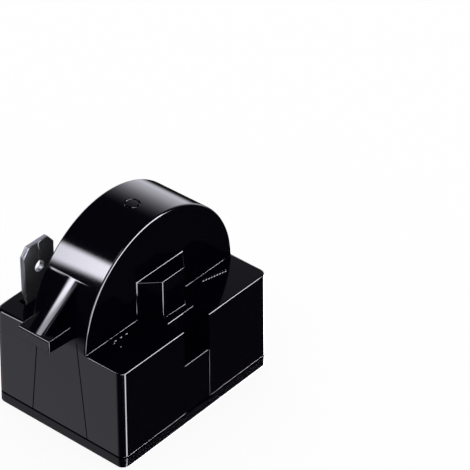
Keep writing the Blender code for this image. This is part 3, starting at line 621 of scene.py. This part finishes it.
lip_length = CAVITY_LENGTH - 2 * CLEARANCE
lip_width = CAVITY_WIDTH - 2 * CLEARANCE
lip = prism("lip", rounded_rectangle(lip_length, lip_width, CAVITY_CORNER, 4), COVER_TOP / 2, LIP_TOP)
combine(lip, prism("lip_inside", rounded_rectangle(lip_length - 2 * LIP_THICKNESS,
                                                   lip_width - 2 * LIP_THICKNESS,
                                                   CAVITY_CORNER / 2, 4), 0, LIP_TOP + WALL),
        "DIFFERENCE")
relief = TAB_HALF + RELIEF_SPARE + CLEARANCE
combine(lip, box("lip_gap", (TAB_MIDDLE_X - relief, TAB_FRONT - CLEARANCE, COVER_TOP),
                 (TAB_MIDDLE_X + relief, CAVITY_WIDTH / 2, LIP_TOP + WALL)), "DIFFERENCE")
combine(cover, lip, "UNION")

seat = PILL_RADIUS + CLEARANCE
swing = math.degrees(math.asin(CRADLE_HALF / seat))
combine(cover, prism("cradle", [(-CRADLE_HALF, COVER_TOP / 2)]
                     + arc(seat, 270 - swing, 270 + swing, 24, (0, DOME_AXIS))
                     + [(CRADLE_HALF, COVER_TOP / 2)],
                     DOME_MIDDLE - CRADLE_THICKNESS / 2, DOME_MIDDLE + CRADLE_THICKNESS / 2, "XZ"),
        "UNION")
print("cover is", round(SEAM_LOW / MM, 2), "mm high at its edge")

# %% [markdown]
# ## Fences and pin entries
# A half fence stands round each receptacle. From below there are two holes for the
# compressor's pins, flared so that the pins find their way in.

# %% Fences and pin entries
PIN_RADIUS = 3.2 / 2 * MM
PIN_PITCH = 9.6 * MM
BARREL_RADIUS = PIN_RADIUS + SHEET
SOCKET_Y = (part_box("run_socket")[0].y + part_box("run_socket")[1].y) / 2
FENCE_TOP = COVER_TOP + 2.0 * MM
FENCE_THICKNESS = 1.0 * MM
ENTRY_RADIUS = PIN_RADIUS + 0.4 * MM
ENTRY_DEPTH = 0.9 * MM
ENTRY_FLARE = 0.9 * MM

for side in (-1, 1):
    centre = (side * PIN_PITCH / 2, SOCKET_Y)
    inner = BARREL_RADIUS + CLEARANCE
    outline = arc(inner + FENCE_THICKNESS, 180, 360, 24, centre) + arc(inner, 360, 180, 24, centre)
    combine(cover, prism("fence", outline, COVER_TOP / 2, FENCE_TOP), "UNION")
    entry = turned("entry", [
        (0, COVER_TOP + WALL),
        (ENTRY_RADIUS, COVER_TOP + WALL),
        (ENTRY_RADIUS, ENTRY_DEPTH),
        (ENTRY_RADIUS + ENTRY_FLARE, 0),
        (ENTRY_RADIUS + ENTRY_FLARE, -WALL),
        (0, -WALL),
    ])
    entry.data.transform(Matrix.Translation((*centre, 0)))
    combine(cover, entry, "DIFFERENCE")
shade(cover)
print("cover:", len(cover.data.polygons), "faces")

# %% [markdown]
# ## The folded tab
# The run terminal is one steel strip, bent inside the housing. Its tab is the strip folded on
# itself, so its long edges are round, and its tip is pressed thinner to lead a connector on.
# At its foot the fold opens, and only the front half goes on down into the housing.

# %% Blade
TAB_TOP = LEDGE + 9.1 * MM
TAB_CHAMFER = 1.2 * MM
TAB_CHAMFER_RISE = 1.5 * MM
FOOT_RISE = 0.3 * MM
FOLD_RISE = 2.0 * MM
FOLD_ROUND = 0.24 * MM
TIP_ROUND = 0.14 * MM

blade = prism("blade", [
    (TAB_MIDDLE_X - TAB_HALF, LEDGE + FOOT_RISE),
    (TAB_MIDDLE_X + TAB_HALF, LEDGE + FOOT_RISE),
    (TAB_MIDDLE_X + TAB_HALF, TAB_TOP - TAB_CHAMFER_RISE),
    (TAB_MIDDLE_X + TAB_HALF - TAB_CHAMFER, TAB_TOP),
    (TAB_MIDDLE_X - TAB_HALF + TAB_CHAMFER, TAB_TOP),
    (TAB_MIDDLE_X - TAB_HALF, TAB_TOP - TAB_CHAMFER_RISE),
], TAB_FRONT, TAB_BACK, "XZ")
combine(blade, prism("fold_foot", [
    (TAB_FRONT + SHEET, LEDGE),
    (TAB_BACK + SHEET, LEDGE),
    (TAB_BACK + SHEET, LEDGE + FOLD_RISE),
    (TAB_BACK, LEDGE + FOLD_RISE),
    (TAB_FRONT + SHEET, LEDGE + FOOT_RISE),
], TAB_MIDDLE_X - TAB_HALF - WALL, TAB_MIDDLE_X + TAB_HALF + WALL, "YZ"), "DIFFERENCE")


def blade_round(middle, convex):
    """Round folds at the sides, a pressed tip, and a plain foot."""
    if middle.z < LEDGE + FOLD_RISE and abs(middle.x - TAB_MIDDLE_X) < TAB_HALF - NEAR:
        return 0
    return TIP_ROUND if middle.z > TAB_TOP - TAB_CHAMFER_RISE - NEAR else FOLD_ROUND


round_edges(blade, blade_round)

# %% [markdown]
# ## Latch hole and seam
# A connector's latch drops into the hole. The fold's two edges meet in a seam down the front,
# from the tip to the hole.

# %% Latch hole and seam
HOLE_RADIUS = 1.8 / 2 * MM
HOLE_HEIGHT = LEDGE + 4.9 * MM
SEAM_HALF = 0.13 * MM
SEAM_DEPTH = 0.22 * MM
TAB_MIDDLE_Y = (TAB_FRONT + TAB_BACK) / 2

hole = turned("latch_hole", [(0, -WALL), (HOLE_RADIUS, -WALL), (HOLE_RADIUS, WALL), (0, WALL)])
hole.data.transform(Matrix.Translation((TAB_MIDDLE_X, TAB_MIDDLE_Y, HOLE_HEIGHT))
                    @ Matrix.Rotation(math.radians(90), 4, "X"))
combine(blade, hole, "DIFFERENCE")
combine(blade, prism("seam", [
    (TAB_MIDDLE_X - SEAM_HALF, TAB_FRONT - NEAR),
    (TAB_MIDDLE_X + SEAM_HALF, TAB_FRONT - NEAR),
    (TAB_MIDDLE_X, TAB_FRONT + SEAM_DEPTH),
], HOLE_HEIGHT, TAB_TOP + WALL), "DIFFERENCE")
print("blade:", len(blade.data.polygons), "faces")

# %% [markdown]
# ## Blade on strip
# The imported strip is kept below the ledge, and only its blade is exchanged for this finer one.
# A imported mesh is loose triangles, so its copy is merged first.

# %% Blade on strip
def merged_copy(node):
    """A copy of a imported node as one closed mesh."""
    made = bpy.data.objects.new("packed_" + node, frame["nodes"][node].data.copy())
    bpy.context.scene.collection.objects.link(made)
    form = bmesh.new()
    form.from_mesh(made.data)
    bmesh.ops.remove_doubles(form, verts=form.verts, dist=MERGE)
    form.to_mesh(made.data)
    form.free()
    made.data.materials.clear()
    return made


terminal = merged_copy("run_terminal")
combine(terminal, box("old_blade", (TAB_MIDDLE_X - TAB_HALF - WALL, TAB_FRONT - WALL, LEDGE),
                      (TAB_MIDDLE_X + TAB_HALF + WALL, TAB_BACK + WALL, TAB_TOP + WALL)), "DIFFERENCE")
combine(terminal, box("neck", (TAB_MIDDLE_X - TAB_HALF + SHEET, TAB_FRONT + NEAR, LEDGE - NEAR),
                      (TAB_MIDDLE_X + TAB_HALF - SHEET, TAB_FRONT + SHEET + NEAR, LEDGE + FOLD_RISE)),
        "UNION")
combine(terminal, blade, "UNION")
terminal.name = "folded_run_terminal"
shade(terminal)
print("terminal:", len(terminal.data.polygons), "faces")

# %% [markdown]
# ## Colours and nodes
# Colours are written as the sRGB hex values that a picture shows, and one function turns
# them linear. One small function adds a node with its settings, values and links, to a
# shader's tree or to a Geometry Nodes tree.

# %% Colours and nodes
def linear(code):
    """An sRGB hex colour as linear red, green and blue, with a full alpha."""
    parts = [int(code[place:place + 2], 16) / 255 for place in (1, 3, 5)]
    parts = [p / 12.92 if p <= 0.04045 else ((p + 0.055) / 1.055) ** 2.4 for p in parts]
    return (*parts, 1.0)


def add(tree, kind, values=None, links=None, **settings):
    """Add a node, set its properties, its sockets' values and its links."""
    node = tree.nodes.new(tree.bl_idname.removesuffix("Tree") + kind)
    for name, value in settings.items():
        setattr(node, name, value)
    for socket, value in (values or {}).items():
        node.inputs[socket].default_value = value
    for socket, source in (links or {}).items():
        tree.links.new(source, node.inputs[socket])
    return node


def new_material(name):
    """An empty node material with its output."""
    material = bpy.data.materials.new(name)
    material.use_nodes = True
    material.node_tree.nodes.clear()
    return material, material.node_tree


def finish_with(tree, shader):
    """Join a shader to the material's output."""
    add(tree, "OutputMaterial", links={"Surface": shader.outputs[0]})


print("mid grey, linear:", round(linear("#808080")[0], 3))

# %% [markdown]
# ## Black gloss moulding
# The housing is a glass-filled thermoplastic from a polished mould. It gives the eye almost
# no colour of its own: what shows is the room mirrored at four percent. A very slight
# waviness from shrinkage, 7 mm long, keeps the mirror from looking like glass, and a fine
# 0.25 mm grain varies the roughness. The colour's own variation is a whisper of grey. The
# cover comes from a mould that is less polished, so it is rougher and mirrors less.

# %% Moulding material
MOULD_GRAIN = 0.25 * MM
SHRINK_WAVE = 7 * MM
SHRINK_DEPTH = 0.05 * MM


def moulding(name, deep, pale, smooth, rough, index=1.5):
    """Polished black plastic with shrinkage waves and a fine grain."""
    material, tree = new_material(name)
    place = add(tree, "TexCoord").outputs["Object"]
    grain = add(tree, "TexNoise", {"Scale": 1 / MOULD_GRAIN, "Detail": 2.0}, {"Vector": place})
    waves = add(tree, "TexNoise", {"Scale": 1 / SHRINK_WAVE, "Detail": 1.0}, {"Vector": place})
    colour = add(tree, "Mix", {6: linear(deep), 7: linear(pale)}, {0: waves.outputs["Fac"]},
                 data_type="RGBA")
    gloss = add(tree, "MapRange",
                {"From Min": 0.3, "From Max": 0.7, "To Min": smooth, "To Max": rough},
                {"Value": grain.outputs["Fac"]})
    bump = add(tree, "Bump", {"Strength": 0.03, "Distance": SHRINK_DEPTH},
               {"Height": waves.outputs["Fac"]})
    shader = add(tree, "BsdfPrincipled", {"IOR": index},
                 {"Base Color": colour.outputs[2], "Roughness": gloss.outputs[0],
                  "Normal": bump.outputs[0]})
    finish_with(tree, shader)
    return material


BLACK_MOULDING = moulding("polished_black_moulding", "#020106", "#040309", 0.04, 0.075)
SATIN_MOULDING = moulding("satin_black_moulding", "#030207", "#05040a", 0.12, 0.16, 1.3)
print("mouldings:", BLACK_MOULDING.name, "and", SATIN_MOULDING.name)

# %% [markdown]
# ## Tinned steel, spring steel and brass
# The tab is cold-rolled steel strip with a dull tin coat. Rolling leaves fine lines along
# the strip, here 0.12 mm apart, and handling leaves soft grey patches. The springs are the
# same in a brighter steel, and the receptacles, link and rivets are rolled brass.

# %% Metal materials
ROLLING_LINE = 0.12 * MM
LINE_STRETCH = 0.04
LINE_DEPTH = 0.02 * MM
HANDLING_PATCH = 2.5 * MM


def strip_metal(name, pale, dark, smooth, rough):
    """Rolled metal strip: fine lines along its length, and soft patches."""
    material, tree = new_material(name)
    place = add(tree, "TexCoord").outputs["Object"]
    stretched = add(tree, "Mapping", {"Scale": (1.0, 1.0, LINE_STRETCH)}, {"Vector": place})
    lines = add(tree, "TexNoise", {"Scale": 1 / ROLLING_LINE, "Detail": 3.0},
                {"Vector": stretched.outputs[0]})
    patches = add(tree, "TexNoise", {"Scale": 1 / HANDLING_PATCH, "Detail": 4.0}, {"Vector": place})
    colour = add(tree, "Mix", {6: linear(pale), 7: linear(dark)}, {0: patches.outputs["Fac"]},
                 data_type="RGBA")
    both = add(tree, "Math", {}, {0: lines.outputs["Fac"], 1: patches.outputs["Fac"]},
               operation="MULTIPLY")
    gloss = add(tree, "MapRange",
                {"From Min": 0.12, "From Max": 0.42, "To Min": smooth, "To Max": rough},
                {"Value": both.outputs[0]})
    bump = add(tree, "Bump", {"Strength": 0.12, "Distance": LINE_DEPTH},
               {"Height": lines.outputs["Fac"]})
    shader = add(tree, "BsdfPrincipled", {"Metallic": 1.0},
                 {"Base Color": colour.outputs[2], "Roughness": gloss.outputs[0],
                  "Normal": bump.outputs[0]})
    finish_with(tree, shader)
    return material


TINNED_STEEL = strip_metal("tinned_steel_strip", "#c6c8cc", "#a6a8ae", 0.42, 0.6)
SPRING_STEEL = strip_metal("bright_spring_steel", "#c3c4c8", "#a4a6aa", 0.2, 0.34)
BRASS = strip_metal("rolled_brass_strip", "#d8b46a", "#b98f4a", 0.24, 0.4)
print("metals:", [metal.name for metal in (TINNED_STEEL, SPRING_STEEL, BRASS)])

# %% [markdown]
# ## Silvered ceramic
# The pill is fired barium titanate with a silver paste fired on, so it is a matt pale grey
# with a fine 0.15 mm tooth. It sits inside and only shows when the part is opened.

# %% Ceramic material
SILVER_TOOTH = 0.15 * MM
TOOTH_DEPTH = 0.02 * MM


def silvered_ceramic():
    """Matt fired silver paste on ceramic."""
    material, tree = new_material("silvered_ceramic")
    place = add(tree, "TexCoord").outputs["Object"]
    tooth = add(tree, "TexNoise", {"Scale": 1 / SILVER_TOOTH, "Detail": 3.0}, {"Vector": place})
    colour = add(tree, "Mix", {6: linear("#a9a7a2"), 7: linear("#8a8883")}, {0: tooth.outputs["Fac"]},
                 data_type="RGBA")
    bump = add(tree, "Bump", {"Strength": 0.3, "Distance": TOOTH_DEPTH},
               {"Height": tooth.outputs["Fac"]})
    shader = add(tree, "BsdfPrincipled", {"Roughness": 0.6},
                 {"Base Color": colour.outputs[2], "Normal": bump.outputs[0]})
    finish_with(tree, shader)
    return material


PILL_CERAMIC = silvered_ceramic()
print("ceramic:", PILL_CERAMIC.name)

# %% [markdown]
# ## Raised marks on the ledge
# The mould raises a beaded bar on the right of the front ledge and a few pips on the left.
# They repeat along a line, so one Geometry Nodes tree makes both: a line of points, and on
# each point a small bead, half sunk in the ledge. Its inputs are how many beads there are,
# where they run and how large they are.

# %% Bead tree
BEAD_INPUTS = {
    "Beads": "NodeSocketInt",
    "Start": "NodeSocketVector",
    "End": "NodeSocketVector",
    "Radius": "NodeSocketFloat",
}
beads = bpy.data.node_groups.new("bead_row", "GeometryNodeTree")
sockets = {label: beads.interface.new_socket(label, in_out="INPUT", socket_type=kind)
           for label, kind in BEAD_INPUTS.items()}
beads.interface.new_socket("Geometry", in_out="OUTPUT", socket_type="NodeSocketGeometry")
given = beads.nodes.new("NodeGroupInput").outputs
line = add(beads, "MeshLine", {}, {"Count": given["Beads"], "Start Location": given["Start"],
                                   "Offset": given["End"]}, mode="END_POINTS")
bead = add(beads, "MeshUVSphere", {"Segments": 16, "Rings": 10}, {"Radius": given["Radius"]})
placed = add(beads, "InstanceOnPoints", {}, {"Points": line.outputs[0], "Instance": bead.outputs[0]})
solid = add(beads, "RealizeInstances", {}, {"Geometry": placed.outputs[0]})
dressed = add(beads, "SetMaterial", {"Material": BLACK_MOULDING}, {"Geometry": solid.outputs[0]})
beads.links.new(dressed.outputs[0], beads.nodes.new("NodeGroupOutput").inputs[0])
print("bead tree:", len(beads.nodes), "nodes")

# %% Bead rows
# Name, first and last bead in plan and radius in millimetres, and how many beads.
ROWS = (
    ("beaded_bar", (8.05, -6.27), (11.85, -7.2), 0.34, 9),
    ("ledge_pips", (-10.5, -6.0), (-8.3, -6.1), 0.36, 3),
)
marks = []
for name, start, end, radius, count in ROWS:
    row = bpy.data.objects.new(name, bpy.data.meshes.new(name))
    bpy.context.scene.collection.objects.link(row)
    modifier = row.modifiers.new("beads", "NODES")
    modifier.node_group = beads
    for label, value in (("Beads", count), ("Start", (start[0] * MM, start[1] * MM, LEDGE)),
                         ("End", (end[0] * MM, end[1] * MM, LEDGE)), ("Radius", radius * MM)):
        modifier[sockets[label].identifier] = value
    marks.append(shade(row))
print("marks:", {row.name: len(row.data.polygons) for row in marks})

# %% [markdown]
# ## Who wears what
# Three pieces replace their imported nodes, which stay hidden for collision. All the others keep
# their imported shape, and only get a finish, picked by the record's material slot. Every piece
# rides the root body, because nothing in this relay moves.

# %% Dress the pieces
SLOT_MATERIALS = {
    "black_moulding": BLACK_MOULDING,
    "tab_steel": TINNED_STEEL,
    "brass_strip": BRASS,
    "spring_steel": SPRING_STEEL,
    "pill_ceramic": PILL_CERAMIC,
}
for part in frame["record"]["subparts"]:
    packed = frame["nodes"][part["node"]]
    packed.data.materials.clear()
    packed.data.materials.append(SLOT_MATERIALS[part["material_slot"]])

for piece, node, slot, wears in ((housing, "housing", "black_moulding", BLACK_MOULDING),
                                 (cover, "base_cover", "black_moulding", SATIN_MOULDING),
                                 (terminal, "run_terminal", "tab_steel", TINNED_STEEL)):
    piece.data.materials.clear()
    piece.data.materials.append(wears)
    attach(piece, "root")
    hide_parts(node)
for row in marks:
    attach(row, "root")

# %% [markdown]
# ## Camera
# The camera stands where the photograph was taken: high at the front left, far off, with a
# long lens. Its place was fitted to the block's straight edges and the dome's rim.

# %% Camera
CAMERA_PLACE = Vector((-219.2, -200.4, 240.1)) * MM
CAMERA_AZIMUTH = math.radians(-50.38)
CAMERA_ELEVATION = math.radians(35.76)
CAMERA_ROLL = math.radians(0.48)
LENS = 198.7

across = Vector((math.cos(CAMERA_AZIMUTH), math.sin(CAMERA_AZIMUTH), 0))
back = Vector((math.sin(CAMERA_AZIMUTH) * math.cos(CAMERA_ELEVATION),
               -math.cos(CAMERA_AZIMUTH) * math.cos(CAMERA_ELEVATION), math.sin(CAMERA_ELEVATION)))
upright = back.cross(across)
stand = Matrix((across, upright, back)).transposed() @ Matrix.Rotation(CAMERA_ROLL, 3, "Z")
camera = bpy.data.objects.new("camera", bpy.data.cameras.new("camera"))
camera.data.lens = LENS
camera.data.clip_start = 0.01
camera.matrix_world = Matrix.Translation(CAMERA_PLACE) @ stand.to_4x4()
bpy.context.scene.collection.objects.link(camera)
bpy.context.scene.camera = camera
print("camera", [round(v, 3) for v in camera.location])

# %% [markdown]
# ## Studio
# Black gloss is lit by what it mirrors, so the studio is drawn by direction in the world's
# shader. Along each of its axes a lamp passes from dark to bright between two values, and two
# limits on one axis bound a band. Every round then finds a lamp, and the flat faces find the
# calm dark between the lamps. The lamps are strong and narrow, because a round of 0.1 mm
# shrinks what it mirrors to a hairline.

# %% A lamp drawn by direction
world = bpy.data.worlds.new("studio")
world.use_nodes = True
bpy.context.scene.world = world
tree = world.node_tree
tree.nodes.clear()
direction = add(tree, "TexCoord").outputs["Generated"]


def lamp(strength, *limits):
    """Light where the direction's measure along each axis passes from dark to bright."""
    level = None
    for axis, dark, bright in limits:
        measure = add(tree, "VectorMath", {1: axis}, {0: direction}, operation="DOT_PRODUCT")
        ramp = add(tree, "MapRange", {"From Min": dark, "From Max": bright},
                   {"Value": measure.outputs["Value"]}, interpolation_type="SMOOTHSTEP")
        if level:
            level = add(tree, "Math", {}, {0: ramp.outputs[0], 1: level.outputs[0]},
                        operation="MULTIPLY")
        else:
            level = add(tree, "Math", {1: strength}, {0: ramp.outputs[0]}, operation="MULTIPLY")
    return level.outputs[0]


print("world:", world.name)

# %% Lamps
UP = (0, 0, 1)
FRONT = (0, -1, 0)
BACK = (0, 1, 0)
RIGHT = (1, 0, 0)
KEY_EDGE = (0.726, 0.678, -0.113)
KEY_LENGTH = (0.556, -0.483, 0.676)
WALL_SIDE = (0.84, 0.54, 0)
FOOT_STRIP = (0.57, 0.05, -0.82)
STRIP_SIDE = (0.943, 0.334, 0)
STRIP_FRONT = (0.334, -0.943, 0)
FLOOR_SIDE = (-0.77, 0.64, 0)
FLOOR_END = (0.64, 0.77, 0)
lamps = [
    # A long softbox gives the dome and the gusset their stripe, and its middle is brighter.
    lamp(8.0, (KEY_EDGE, 0.02, -0.04), (KEY_EDGE, -0.165, -0.12), (KEY_LENGTH, -0.5, -0.4),
         (KEY_LENGTH, 0.45, 0.35), (BACK, 0.68, 0.5), (UP, -0.3, 0.0)),
    lamp(17.0, (KEY_EDGE, 0.02, -0.04), (KEY_EDGE, -0.165, -0.12), (KEY_LENGTH, -0.5, -0.4),
         (KEY_LENGTH, 0.08, -0.05), (BACK, 0.68, 0.5), (UP, -0.3, 0.0)),
    # A dim wall at the right and the back gives the dome's crown its soft light.
    lamp(2.3, (UP, -0.29, -0.04), (UP, 0.69, 0.10), (WALL_SIDE, 0.45, 0.7)),
    # Three panels at the front light the dome's rim and the boss's upright edges, then the
    # boss's slanting top edge, and then all edges that run along the block.
    lamp(10.0, (FRONT, 0.5, 0.66), (RIGHT, 0.35, 0.15), (RIGHT, -0.55, -0.40),
         (UP, -0.60, -0.48), (UP, 0.52, 0.38)),
    lamp(10.0, (FRONT, 0.5, 0.66), (RIGHT, -0.40, -0.55), (UP, -0.12, 0.02), (UP, 0.52, 0.38)),
    lamp(24.0, (FRONT, 0.56, 0.72), (RIGHT, 0.15, 0.35), (RIGHT, 0.68, 0.63),
         (UP, -0.38, -0.22), (UP, 0.52, 0.38)),
    # A low lamp lights the seam, and an upright strip the near corner.
    lamp(16.0, (FOOT_STRIP, 0.90, 0.95)),
    lamp(13.0, (STRIP_SIDE, -0.33, -0.29), (STRIP_SIDE, -0.07, -0.11), (STRIP_FRONT, 0.05, 0.15),
         (UP, 0.38, 0.25)),
    # The glow of a pale floor turns the left end face grey.
    lamp(0.62, (UP, -0.28, -0.60), (FLOOR_SIDE, 0.45, 0.70), (FLOOR_END, -0.48, 0.05)),
]
print("lamps:", len(lamps))

# %% [markdown]
# ## One white room, one mirrored studio
# Mirror rays see the lamps over a faint ambient. Cycles counts a ray's depth as two where it
# leaves the first mirror, and only there are the lamps seen, so that a second mirror draws no
# false lines. Matt surfaces are lit by an even white of strength one, at which their colours
# render as they are written, and the camera sees a white backdrop of the same strength.

# %% World
AMBIENT = 0.018
FIRST_MIRROR = 2.5
total = lamps[0]
for light in lamps[1:]:
    total = add(tree, "Math", {}, {0: total, 1: light}, operation="ADD").outputs[0]
path = add(tree, "LightPath")
first = add(tree, "Math", {1: FIRST_MIRROR}, {0: path.outputs["Ray Depth"]}, operation="LESS_THAN")
level = add(tree, "Math", {2: AMBIENT}, {0: total, 1: first.outputs[0]}, operation="MULTIPLY_ADD")
mirrored = add(tree, "Background", {"Color": linear("#f4f3ff")}, {"Strength": level.outputs[0]})
even = add(tree, "Background", {"Color": (1, 1, 1, 1), "Strength": 1.0})
backdrop = add(tree, "Background", {"Color": (1, 1, 1, 1), "Strength": 1.0})
mirror_ray = add(tree, "Math", {}, {0: path.outputs["Is Glossy Ray"],
                                    1: path.outputs["Is Transmission Ray"]}, operation="MAXIMUM")
inside = add(tree, "MixShader", {}, {0: mirror_ray.outputs[0], 1: even.outputs[0],
                                     2: mirrored.outputs[0]})
seen = add(tree, "MixShader", {}, {0: path.outputs["Is Camera Ray"], 1: inside.outputs[0],
                                   2: backdrop.outputs[0]})
add(tree, "OutputWorld", links={"Surface": seen.outputs[0]})
print("world nodes:", len(tree.nodes))

# %% [markdown]
# ## Floor
# The floor is a wide white sheet. Most of what the camera sees of it is its own white, so
# that the object's shadow stays soft and pale. It is left out of the gloss, whose black sides
# show no floor, and it is open from below, which lets a view from underneath show the base.

# %% Floor
FLOOR_HALF = 6.0
OWN_WHITE = 0.9
floor = bpy.data.objects.new("floor", bpy.data.meshes.new("floor"))
form = bmesh.new()
bmesh.ops.create_grid(form, x_segments=1, y_segments=1, size=FLOOR_HALF)
form.to_mesh(floor.data)
form.free()
bpy.context.scene.collection.objects.link(floor)
material, tree = new_material("white_floor")
lit = add(tree, "BsdfDiffuse", {"Color": (0.96, 0.96, 0.97, 1.0)})
own = add(tree, "Emission", {"Color": (1, 1, 1, 1), "Strength": 1.0})
path = add(tree, "LightPath")
mirror_ray = add(tree, "Math", {}, {0: path.outputs["Is Glossy Ray"],
                                    1: path.outputs["Is Transmission Ray"]}, operation="MAXIMUM")
seen_ray = add(tree, "Math", {}, {0: path.outputs["Is Camera Ray"], 1: mirror_ray.outputs[0]},
               operation="MAXIMUM")
share = add(tree, "Math", {1: OWN_WHITE}, {0: seen_ray.outputs[0]}, operation="MULTIPLY")
top = add(tree, "MixShader", {}, {0: share.outputs[0], 1: lit.outputs[0], 2: own.outputs[0]})
under = add(tree, "BsdfTransparent")
side = add(tree, "NewGeometry").outputs["Backfacing"]
finish_with(tree, add(tree, "MixShader", {}, {0: side, 1: top.outputs[0], 2: under.outputs[0]}))
floor.data.materials.append(material)
floor.visible_glossy = False
print("floor", 2 * FLOOR_HALF, "m wide")

# %% [markdown]
# ## View
# The picture is shown through the Standard view transform. The dressed part has to stay
# inside the imported part's box.

# %% Finish
bpy.context.scene.view_settings.view_transform = "Standard"
